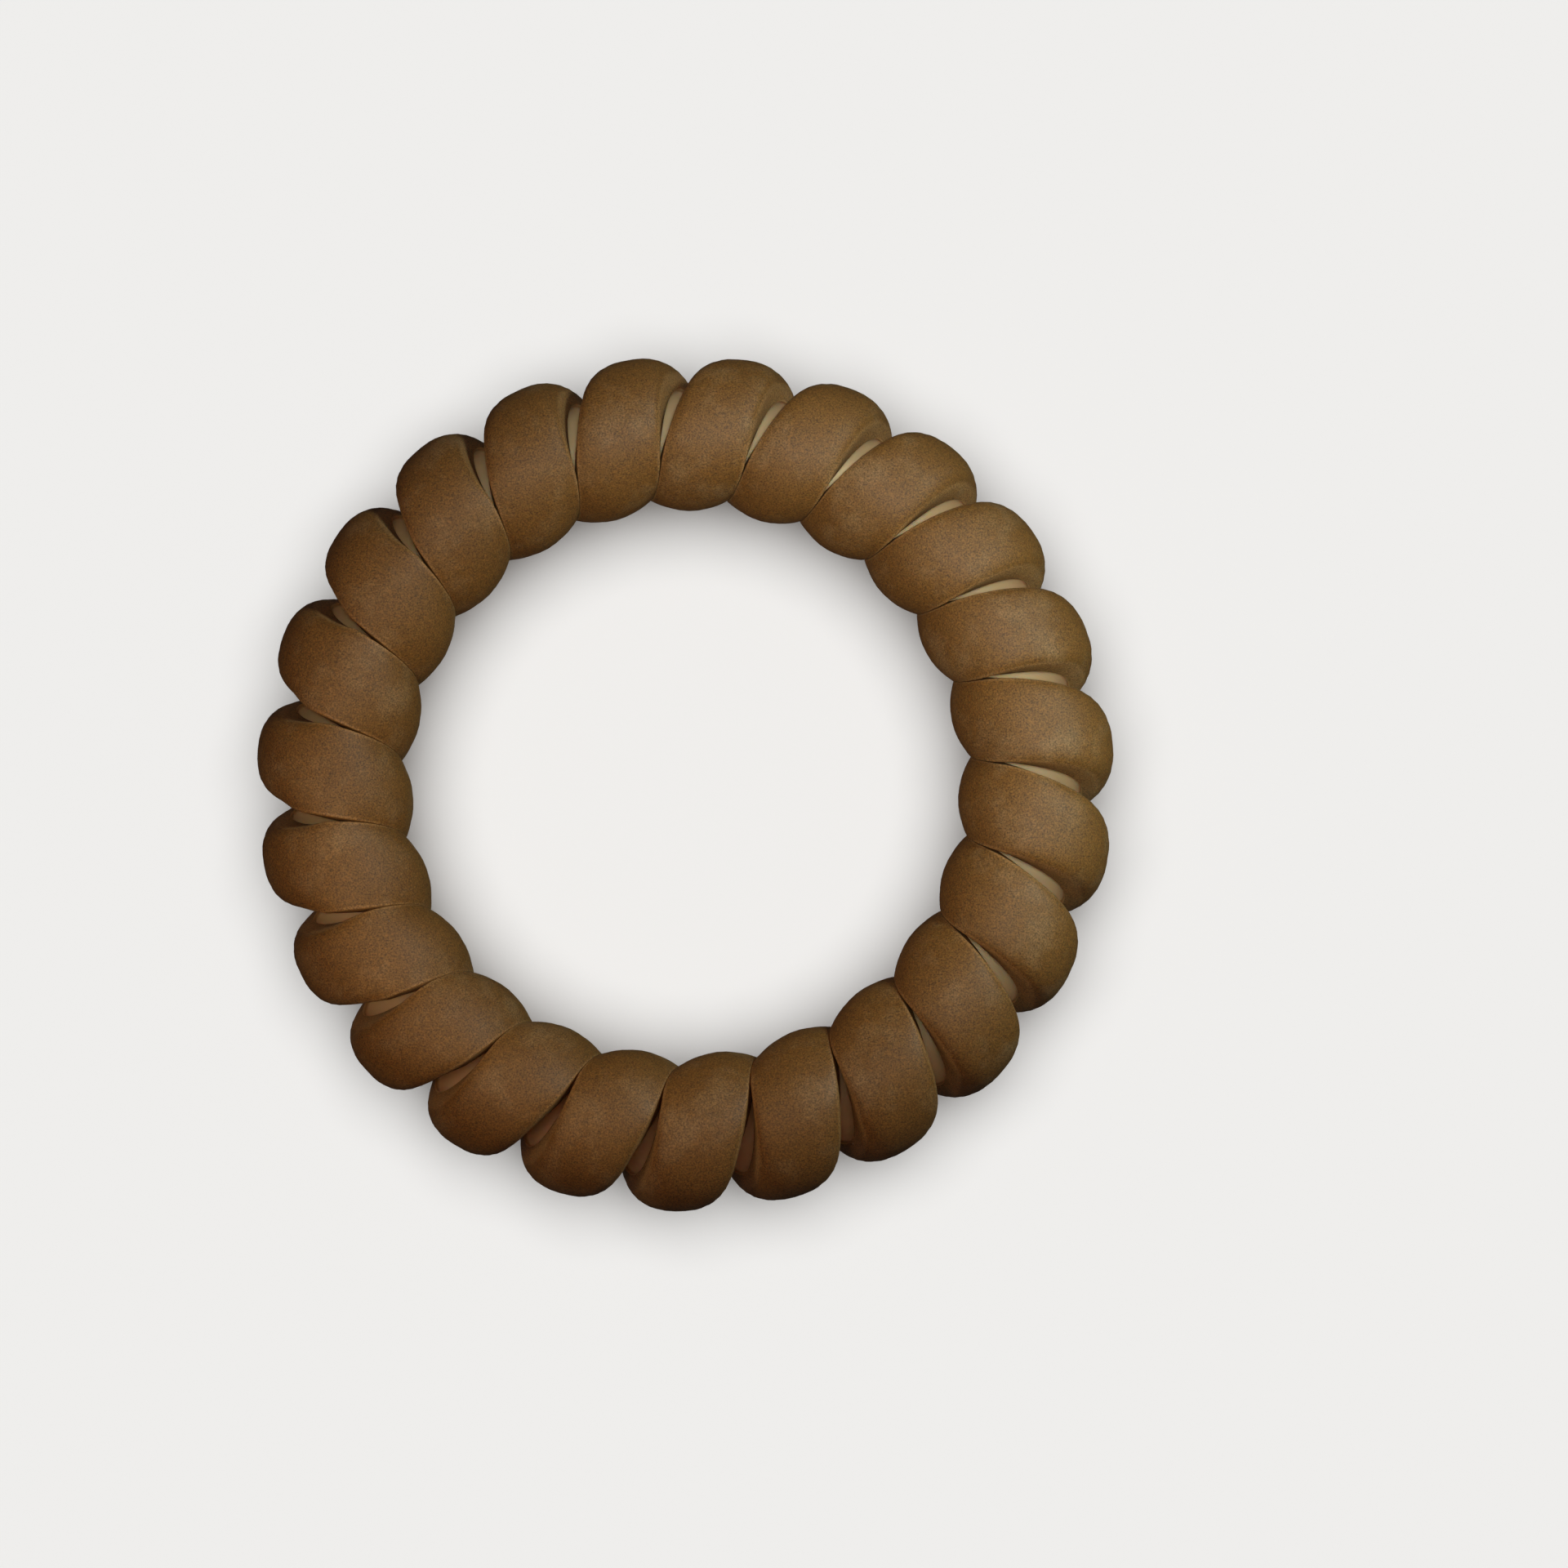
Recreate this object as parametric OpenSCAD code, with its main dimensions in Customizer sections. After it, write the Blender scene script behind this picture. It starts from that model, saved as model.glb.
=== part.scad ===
// Spiral hair tie: one strand wound into a coil, and the coil closed into a ring.
// The ring lies on its side with its axis up, and its underside is at height zero.

/* [Coil] */
// Number of turns round the whole ring
turns = 23; // [15:1:25]
// Diameter of the hollow down the middle of the coil
core_d = 5.2; // [4:0.1:9]
// Clearance between neighbouring turns on the hole side, where they crowd together
turn_gap = 0.08; // [0.05:0.01:0.6]
// Angle round the coil at which the winding starts, which turns the ring as a whole
start_angle = 281; // [0:1:359]

/* [Strand] */
// Width of the strand across its flat face, the one inside the coil
strand_w = 5.05; // [3:0.05:8]
// Thickness of the strand from its flat face to its crown
strand_t = 2.4; // [1.4:0.1:4]
// Height of the upright edge between the flat face and the crown
edge_h = 0.4; // [0.1:0.05:1]
// Fullness of the crown across the strand: 2 is an ellipse, and more is flatter
crown_fullness = 2.5; // [2:0.1:4]

/* [Hidden] */

// Stations round one turn, and spans across the crown
steps = 20;
crown_spans = 10;

core_r = core_d / 2;
mid_r = core_r + strand_t / 2;
coil_r = core_r + strand_t;

// The turns are tightest on the hole side, level with the top of the upright edge.
// There one turn has the strand's width and the clearance, square to the leaning strand.
tight_r = core_r + edge_h;
tight_pitch = strand_w + turn_gap;
tight_arc = 1 / sqrt(1 / pow(tight_pitch, 2) - 1 / pow(2 * PI * tight_r, 2));
ring_r = tight_r + tight_arc * turns / (2 * PI);

// Outline of the strand as [side, out]: side across the strand, out from the flat face
function crown_side(a) = strand_w / 2 * sign(cos(a)) * pow(abs(cos(a)), 2 / crown_fullness);
function crown_out(a) = edge_h + (strand_t - edge_h) * sin(a);
section = concat(
    [[-strand_w / 2, 0], [strand_w / 2, 0]],
    [for (i = [0:crown_spans]) [crown_side(180 * i / crown_spans), crown_out(180 * i / crown_spans)]]
);

// Lean of the strand away from a plain hoop, at the angle f round the coil
function lean(f) = atan((ring_r + mid_r * cos(f)) / (turns * mid_r));

// Point s of the outline, carried to the angle f: 0 is the rim, 90 the top, 180 the hole side
function strand_point(f, s) =
    let (
        around = (f - start_angle) / turns,
        radius = ring_r + (core_r + s[1]) * cos(f) + s[0] * sin(lean(f)) * sin(f),
        along = s[0] * cos(lean(f)),
        height = coil_r + (core_r + s[1]) * sin(f) - s[0] * sin(lean(f)) * cos(f)
    )
    [
        radius * cos(around) - along * sin(around),
        radius * sin(around) + along * cos(around),
        height
    ];

stations = turns * steps;
sides = len(section);

// Number of point i at station k, where both run round and close on themselves
function at(k, i) = (k % stations) * sides + i % sides;

module spiral_strand() {
    color("#6b4f2c")
    polyhedron(
        points = [for (k = [0:stations - 1]) for (s = section) strand_point(k * 360 / steps, s)],
        faces = [
            for (k = [0:stations - 1]) for (i = [0:sides - 1]) for (half = [0, 1])
                half == 0
                    ? [at(k, i), at(k, i + 1), at(k + 1, i + 1)]
                    : [at(k, i), at(k + 1, i + 1), at(k + 1, i)]
        ],
        convexity = 10
    );
}

spiral_strand();
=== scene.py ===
"""The look of a spiral hair tie of frosted brown plastic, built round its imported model.

The ring lies on a pale table and is seen from almost straight above. All sizes are in metres.
"""

from math import atan2, copysign, cos, hypot, pi, radians, sin

import bmesh
import bpy
from mathutils import Matrix, Vector


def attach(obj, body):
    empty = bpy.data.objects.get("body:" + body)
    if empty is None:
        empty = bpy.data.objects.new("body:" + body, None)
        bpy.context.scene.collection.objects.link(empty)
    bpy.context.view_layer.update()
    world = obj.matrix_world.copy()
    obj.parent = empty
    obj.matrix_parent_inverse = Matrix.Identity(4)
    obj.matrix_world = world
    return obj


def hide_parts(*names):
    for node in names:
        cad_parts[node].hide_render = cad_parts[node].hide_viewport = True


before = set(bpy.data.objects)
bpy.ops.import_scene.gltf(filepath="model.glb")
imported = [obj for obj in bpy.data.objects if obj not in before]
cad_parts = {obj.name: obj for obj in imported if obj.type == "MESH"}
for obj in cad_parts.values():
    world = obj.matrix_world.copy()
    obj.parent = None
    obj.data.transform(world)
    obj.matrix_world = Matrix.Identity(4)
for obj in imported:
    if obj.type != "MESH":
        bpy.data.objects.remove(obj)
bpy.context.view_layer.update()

# Camera
# It stands 24 cm above the table and a little in front of the ring's middle, and looks almost
# straight down through a mild telephoto lens. The ring lies left of the picture's middle.
camera_place = (0.0082, -0.0220, 0.2426)
camera_pitch = radians(5.23)
camera_roll = radians(0.45)
lens_mm = 85.4
sensor_mm = 36

camera_data = bpy.data.cameras.new("camera")
camera_data.lens = lens_mm
camera_data.sensor_width = sensor_mm
camera_data.clip_start = 0.01
camera_data.clip_end = 50
camera = bpy.data.objects.new("camera", camera_data)
bpy.context.scene.collection.objects.link(camera)
camera.matrix_world = (
    Matrix.Translation(camera_place)
    @ Matrix.Rotation(camera_pitch, 4, "X")
    @ Matrix.Rotation(camera_roll, 4, "Y")
)
bpy.context.scene.camera = camera

# Spiral strand
# One D-shaped strand of soft plastic is extruded straight, wound round a rod with its flat
# face inwards, set by heat, and its ends are joined so that the coil closes into a ring.
turns = 23

# The outline has a flat face, two short upright edges and a crown. The width is the one that it
# is drawn with: once wound, it spreads over the room between its neighbours.
strand_t = 0.0024
strand_w = 0.00512
edge_h = 0.0004
crown_fullness = 2.5
corner_r = 0.00012

# The turns stand apart at the rim and crowd together towards the hole. Crowding runs from 0 at
# the rim to 1 at the hole. The gap between the turns is closed at one such share, and the full
# shoulders settle into a low dome between two others. Both come sooner on the left of the ring.
rim_gap = 0.0011
turn_gap = 0.00001
closed_at = 0.8
closed_sooner = 0.42
dome_starts = 0.45
dome_ends = 0.76
dome_sooner = 0.22
shoulder_fill = 0.65
crease_depth = 0.0008
press_sharpness = 40

# The coil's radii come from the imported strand, whose crown touches both the rim and the hole
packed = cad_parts["spiral_strand"]
reaches = [hypot(v.co.x, v.co.y) for v in packed.data.vertices]
ring_r = (max(reaches) + min(reaches)) / 2
coil_r = (max(reaches) - min(reaches)) / 2
core_r = coil_r - strand_t
mid_r = coil_r - strand_t / 2

# Winding is the angle round the coil, and turn the angle round the ring. A worn tie isn't spaced
# evenly: two soft waves of spacing go round the ring.
start_angle = radians(281.3)
spacing_wave = radians(0.58)
wave_side = radians(7.4)


def around(winding):
    """Angle round the ring that the strand has reached at that angle round its coil."""
    even = (winding - start_angle) / turns
    return even + spacing_wave * (cos(even - wave_side) + cos(2 * (even - wave_side)))


def spacing(winding):
    """Distance between the turns there, as a share of the even distance."""
    even = (winding - start_angle) / turns
    return 1 - spacing_wave * (sin(even - wave_side) + 2 * sin(2 * (even - wave_side)))


def coil_point(winding, reach):
    """Point at that angle round the coil, at that distance from the coil's middle."""
    radius = ring_r + reach * cos(winding)
    turn = around(winding)
    return Vector((radius * cos(turn), radius * sin(turn), coil_r + reach * sin(winding)))


def room(winding, reach):
    """Width that one turn can take there, at that distance from the coil's middle."""
    pitch = (ring_r + reach * cos(winding)) * spacing(winding) * 2 * pi / turns
    return pitch * cos(atan2(pitch, 2 * pi * reach))


# A share that leaves out, or takes in, the points that lie exactly at a limit
just_under = 0.99


def wind(winding, side, out):
    """Where a point of the straight strand lies once it is wound: side is across its flat
    face, and out is away from that face."""
    # Two points a very small angle apart give the strand's heading
    small_angle = 1e-4
    ahead = coil_point(winding + small_angle, mid_r) - coil_point(winding - small_angle, mid_r)
    ahead.normalize()
    turn = around(winding)
    outward = Vector((cos(turn) * cos(winding), sin(turn) * cos(winding), sin(winding)))
    across = ahead.cross(outward).normalized()
    outward = across.cross(ahead)
    crowding = (1 - cos(winding)) / 2
    # 1 at the far left of the ring, and 0 on its right half
    left = max(0, -cos(turn)) ** 2
    # The soft crown's shoulders fill out over the top of the coil, then settle into a dome
    if out > edge_h * just_under:
        height = max(0, out - edge_h) / (strand_t - edge_h)
        fill = shoulder_fill * (4 * crowding * (1 - crowding)) ** 0.5
        out = edge_h + (strand_t - edge_h) * height ** (1 - fill)
        domed = strand_t - crease_depth * (2 * crowding * side / strand_w) ** 2
        settling = (crowding + dome_sooner * left - dome_starts) / (dome_ends - dome_starts)
        out += (domed - out) * min(1, max(0, settling))
    # The strand spreads over the room between its neighbours, less the gap
    closing = crowding / (closed_at - closed_sooner * left)
    gap = turn_gap + rim_gap * max(0, 1 - closing ** (1 + left))
    side *= (room(winding, core_r) - gap) / strand_w
    # The neighbouring turns press its sides flat
    limit = (room(winding, core_r + out) - turn_gap) / 2
    pressed = side / (1 + abs(side / limit) ** press_sharpness) ** (1 / press_sharpness)
    return coil_point(winding, core_r) + out * outward + pressed * across


# A circle becomes the D outline: its upper half is the crown, its lower half the flat face, and
# the first points below its middle are the corners. Rounding keeps the middle ones in the crown.
outline_points = 36
stations = 36 * turns
strand_length = turns * hypot(2 * pi * mid_r, 2 * pi * ring_r / turns)
bm = bmesh.new()
bmesh.ops.create_circle(bm, segments=outline_points, radius=1)
flat_end = cos(2 * pi / outline_points)
for v in bm.verts:
    x, y = round(v.co.x, 6), round(v.co.y, 6)
    if y < 0:
        v.co = (x / flat_end * strand_w / 2, 0, 0)
    else:
        side = copysign(abs(x) ** (2 / crown_fullness), x) * strand_w / 2
        v.co = (side, edge_h + (strand_t - edge_h) * y, 0)

# The outline is drawn out to the strand's length, and its two corners are rounded
drawn = bmesh.ops.extrude_edge_only(bm, edges=bm.edges[:])["geom"]
far_end = [part for part in drawn if isinstance(part, bmesh.types.BMVert)]
bmesh.ops.translate(bm, verts=far_end, vec=(0, 0, strand_length))
touching = corner_r / 10


def from_corner(v):
    """Distance of a point of the straight strand from the nearer corner of its outline."""
    return hypot(abs(v.co.x) - strand_w / 2, v.co.y)


def lengthwise(edge):
    """Whether an edge of the straight strand runs along it."""
    return abs(edge.verts[0].co.z - edge.verts[1].co.z) > strand_length / 2


corner_edges = [e for e in bm.edges if lengthwise(e) and from_corner(e.verts[0]) < touching]
bmesh.ops.bevel(
    bm, geom=corner_edges, offset=corner_r, segments=4, profile=0.5,
    affect="EDGES", material=-1,
)
bmesh.ops.subdivide_edges(
    bm, edges=[e for e in bm.edges if lengthwise(e)], cuts=stations - 1, use_grid_fill=True
)

# The material needs to know corners, flat face and place across, so they are marked while the
# strand is straight. Then it is wound and its two ends are joined.
corner_mark = bm.verts.layers.float.new("corner")
flat_mark = bm.verts.layers.float.new("flat_face")
side_mark = bm.verts.layers.float.new("side")
for v in bm.verts:
    v[corner_mark] = 1 if from_corner(v) < corner_r * just_under else 0
    v[flat_mark] = 1 if v.co.y < touching else 0
    v[side_mark] = v.co.x / (strand_w / 2)
    v.co = wind(v.co.z / strand_length * turns * 2 * pi, v.co.x, v.co.y)
bmesh.ops.remove_doubles(bm, verts=bm.verts[:], dist=1e-6)
bmesh.ops.recalc_face_normals(bm, faces=bm.faces[:])

strand_mesh = bpy.data.meshes.new("wound_strand")
bm.to_mesh(strand_mesh)
bm.free()
strand_mesh.shade_smooth()
strand = bpy.data.objects.new("wound_strand", strand_mesh)
bpy.context.scene.collection.objects.link(strand)
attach(strand, "root")
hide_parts("spiral_strand")


def linear(hex_colour):
    """An sRGB hex colour as the linear colour that Blender works in."""
    shares = [int(hex_colour[i : i + 2], 16) / 255 for i in (1, 3, 5)]
    return (*[c / 12.92 if c <= 0.04045 else ((c + 0.055) / 1.055) ** 2.4 for c in shares], 1)


def add(tree, kind, sockets=None, **settings):
    """Adds a node with its settings. Each socket takes a value, or a link from another node."""
    node = tree.nodes.new(kind)
    for name, value in settings.items():
        setattr(node, name, value)
    for socket, value in (sockets or {}).items():
        if isinstance(value, bpy.types.NodeSocket):
            tree.links.new(value, node.inputs[socket])
        else:
            node.inputs[socket].default_value = value
    return node


# Frosted thermoplastic polyurethane: a clear brown plastic of a matt grade. It looks dull and
# softly lit, a little cloudy and grainy, and lets some red light through. Light is painted into
# its colour: a painted highlight along its shoulders and corners, painted sheen in greyish
# patches, and painted light on the flat face, which is the palest.
tpu_body = "#7b5525"
tpu_cloud = "#6e491d"
# The next four colours are painted light: shoulder highlight, sheen, lit flat face, corner
# highlight
tpu_shoulder_highlight = "#8d673c"
tpu_sheen_painted = "#917452"
tpu_flat_face_painted_light = "#e8c79b"
tpu_corner_highlight = "#b18c60"
tpu_roughness = 0.62
tpu_ior = 1.5
light_depth = 0.001
light_through = 0.4
reach_of_red_green_blue = (1, 0.4, 0.15)
dust = "#cdbda3"
dust_spacing = 0.004
dust_size = 0.00008
dust_cover = 0.6
cloud_size = 0.004
# Painted sheen lies in greyish patches of this size, scattered at random, over this share
sheen_patch_size = 0.003
sheen_patch_cover = 0.5

# The shoulders get a painted highlight between these shares of the strand's half width
shoulder_highlight_starts = 0.9
shoulder_highlight_ends = 0.97

# The frosted grain is some 30 microns wide and is drawn three times as coarse, and its relief
# eight times, as anything finer is lost between the picture's points. It varies the colour
# between a dark and a pale share.
grain_size = 0.0001
grain_dark = 0.4
grain_pale = 1.6
frost_size = 0.00025
frost_height = frost_size / 10
frost_strength = 0.35

# Blender's noise stays mostly between a low and a high value, round a middle
noise_low = 0.25
noise_middle = 0.5
noise_high = 0.75

# The places of the two colours and of the result on a Mix node
under = 6
over = 7
mixed = 2

plastic = bpy.data.materials.new("frosted_brown_polyurethane")
plastic.use_nodes = True
tree = plastic.node_tree
tree.nodes.clear()
place = add(tree, "ShaderNodeTexCoord").outputs["Object"]
cloud = add(tree, "ShaderNodeTexNoise", {"Vector": place, "Scale": 1 / cloud_size, "Detail": 3})
tint = add(
    tree, "ShaderNodeMix",
    {"Factor": cloud.outputs["Fac"], under: linear(tpu_body), over: linear(tpu_cloud)},
    data_type="RGBA",
)
side = add(tree, "ShaderNodeAttribute", attribute_name="side").outputs["Fac"]
from_crown = add(tree, "ShaderNodeMath", {0: side}, operation="ABSOLUTE")
# Painted highlight: the shoulders turn pale, which also lightens the shade in the seams between
# turns
shoulder_highlight_mask = add(
    tree, "ShaderNodeMapRange",
    {"Value": from_crown.outputs[0], "From Min": shoulder_highlight_starts, "From Max": shoulder_highlight_ends},
    interpolation_type="SMOOTHSTEP",
)
shoulder_highlighted = add(
    tree, "ShaderNodeMix",
    {"Factor": shoulder_highlight_mask.outputs[0], under: tint.outputs[mixed], over: linear(tpu_shoulder_highlight)},
    data_type="RGBA",
)
# Painted sheen: paler greyish patches scattered at random over the surface
sheen_patch_noise = add(
    tree, "ShaderNodeTexNoise",
    {"Vector": place, "Scale": 1 / sheen_patch_size, "Detail": 4, "Roughness": 0.6},
)
sheen_patch_mask = add(
    tree, "ShaderNodeMapRange",
    {
        "Value": sheen_patch_noise.outputs["Fac"], "From Min": noise_middle, "From Max": noise_high,
        "To Max": sheen_patch_cover,
    },
)
sheen_painted = add(
    tree, "ShaderNodeMix",
    {"Factor": sheen_patch_mask.outputs[0], under: shoulder_highlighted.outputs[mixed], over: linear(tpu_sheen_painted)},
    data_type="RGBA",
)
grain = add(tree, "ShaderNodeTexNoise", {"Vector": place, "Scale": 1 / grain_size, "Detail": 1})
grain_share = add(
    tree, "ShaderNodeMapRange",
    {
        "Value": grain.outputs["Fac"], "From Min": noise_low, "From Max": noise_high,
        "To Min": grain_dark, "To Max": grain_pale,
    },
)
grained = add(
    tree, "ShaderNodeVectorMath", {0: sheen_painted.outputs[mixed], "Scale": grain_share.outputs[0]},
    operation="SCALE",
)
# Painted light: the flat face, seen in the gaps between the turns, is coloured pale as if lit
flat_face = add(tree, "ShaderNodeAttribute", attribute_name="flat_face")
flat_face_lit = add(
    tree, "ShaderNodeMix",
    {"Factor": flat_face.outputs["Fac"], under: grained.outputs[0], over: linear(tpu_flat_face_painted_light)},
    data_type="RGBA",
)
# Painted highlight: a pale line along both corners of the strand
corner = add(tree, "ShaderNodeAttribute", attribute_name="corner")
corner_highlighted = add(
    tree, "ShaderNodeMix",
    {"Factor": corner.outputs["Fac"], under: flat_face_lit.outputs[mixed], over: linear(tpu_corner_highlight)},
    data_type="RGBA",
)
# A Voronoi node counts distances in its cells, so a speck's size is a share of the spacing
dust_cell = add(tree, "ShaderNodeTexVoronoi", {"Vector": place, "Scale": 1 / dust_spacing})
dust_spot = add(
    tree, "ShaderNodeMapRange",
    {
        "Value": dust_cell.outputs["Distance"], "From Min": 0.5 * dust_size / dust_spacing,
        "From Max": dust_size / dust_spacing, "To Min": dust_cover, "To Max": 0,
    },
)
dusted = add(
    tree, "ShaderNodeMix",
    {"Factor": dust_spot.outputs[0], under: corner_highlighted.outputs[mixed], over: linear(dust)},
    data_type="RGBA",
)
frost = add(tree, "ShaderNodeTexNoise", {"Vector": place, "Scale": 1 / frost_size, "Detail": 2})
bump = add(
    tree, "ShaderNodeBump",
    {"Height": frost.outputs["Fac"], "Strength": frost_strength, "Distance": frost_height},
)
surface = add(
    tree, "ShaderNodeBsdfPrincipled",
    {
        "Base Color": dusted.outputs[mixed], "Roughness": tpu_roughness, "IOR": tpu_ior,
        "Normal": bump.outputs[0], "Subsurface Weight": light_through,
        "Subsurface Radius": reach_of_red_green_blue, "Subsurface Scale": light_depth,
    },
)
add(tree, "ShaderNodeOutputMaterial", {"Surface": surface.outputs[0]})
strand_mesh.materials.append(plastic)

# Table
# A broad pale table top of matt laminate, on which the ring lies free. It throws no light back
# at the ring, and doesn't show in its sheen: the sun from below stands for that.
table_r = 4.0
laminate_white = "#f4f3f1"

# Matt laminate gives the eye a plain pale ground with a soft shadow and no reflection
laminate = bpy.data.materials.new("matt_white_laminate")
laminate.use_nodes = True
tree = laminate.node_tree
tree.nodes.clear()
table_surface = add(
    tree, "ShaderNodeBsdfPrincipled", {"Base Color": linear(laminate_white), "Roughness": 0.9}
)
add(tree, "ShaderNodeOutputMaterial", {"Surface": table_surface.outputs[0]})
table_bm = bmesh.new()
bmesh.ops.create_circle(table_bm, cap_ends=True, segments=96, radius=table_r)
table_mesh = bpy.data.meshes.new("floor")
table_bm.to_mesh(table_mesh)
table_bm.free()
table_mesh.materials.append(laminate)
table = bpy.data.objects.new("floor", table_mesh)
bpy.context.scene.collection.objects.link(table)
table.visible_diffuse = False
table.visible_glossy = False

# Light
# Soft lamps stand round the ring, and two frosted spots beside the camera. The strongest is at
# the upper right and the light falls off towards the lower left, so that the rims and the lower
# gaps stay dark there. They light only the ring, and the table has a broad sun of its own.
floor_only = bpy.data.collections.new("floor_only")
floor_only.objects.link(table)
ring_only = bpy.data.collections.new("ring_only")
ring_only.objects.link(strand)


def shine(name, data, power, colour, stand, lit):
    """Puts a light in its place, out of the camera's sight, to light one collection alone."""
    data.energy = power
    data.color = colour
    light = bpy.data.objects.new(name, data)
    light.matrix_world = stand
    light.visible_camera = False
    bpy.context.scene.collection.objects.link(light)
    light.light_linking.receiver_collection = lit
    return light


def lamp(name, place, radius, power, colour):
    """A round soft lamp of that radius, which lights the ring with so many watts."""
    data = bpy.data.lights.new(name, "POINT")
    data.shadow_soft_size = radius
    shine(name, data, power, colour, Matrix.Translation(place), ring_only)


lamp("right_back", (0.184, 0.106, 0.212), 0.03, 1.4, (0.86, 1, 0.92))
lamp("overhead", (0.010, 0, 0.300), 0.03, 0.27, (1, 0.62, 0.48))
lamp("left_overhead", (-0.070, -0.045, 0.290), 0.03, 0.34, (1, 0.62, 0.48))
lamp("middle", (-0.020, -0.015, 0.040), 0.01, 0.0095, (1, 0.76, 0.40))
lamp("left", (-0.230, -0.030, 0.193), 0.03, 0.19, (1, 0.8, 0.6))
lamp("right_low", (0.045, 0, 0.030), 0.01, 0.01, (0.74, 1, 0.84))

# The two spots point at the upper right and at the left of the ring
spot_place = Vector((0.010, -0.020, 0.242))
spot_r = 0.006


def spot(name, aim, reach, power, colour):
    """A frosted spot that lights a round patch of that radius on the ring."""
    way = Vector(aim) - spot_place
    data = bpy.data.lights.new(name, "SPOT")
    data.spot_size = 2 * atan2(reach, way.length)
    data.spot_blend = 1
    data.shadow_soft_size = spot_r
    facing = way.to_track_quat("-Z", "Y").to_matrix().to_4x4()
    shine(name, data, power, colour, Matrix.Translation(spot_place) @ facing, ring_only)


spot("right_spot", (0.018, 0.016, 0.005), 0.038, 1.05, (0.9, 1, 0.9))
spot("left_spot", (-0.024, 0.004, 0.005), 0.024, 0.2, (1, 1, 0.75))

# A broad soft sun lights the table
table_sun = bpy.data.lights.new("table_light", "SUN")
table_sun.angle = radians(70)
shine("table_light", table_sun, 2.9, (1, 1, 1), Matrix(), floor_only)

# A real table throws light back up at the underside. A weak sun that shines up through this one
# does so instead: only the ring itself is in its way.
bounce_sun = bpy.data.lights.new("table_bounce", "SUN")
bounce_sun.angle = radians(40)
bounce = shine("table_bounce", bounce_sun, 0.65, (1, 0.95, 0.86), Matrix(), ring_only)
bounce.rotation_euler.x = pi
bounce.visible_glossy = False
bounce.light_linking.blocker_collection = ring_only

# A faint even light fills the darkest gaps, and Standard shows each colour as it is set
world = bpy.data.worlds.new("studio")
world.use_nodes = True
bpy.context.scene.world = world
backdrop = world.node_tree.nodes["Background"]
backdrop.inputs["Color"].default_value = linear("#ffffff")
backdrop.inputs["Strength"].default_value = 0.03
bpy.context.scene.view_settings.view_transform = "Standard"
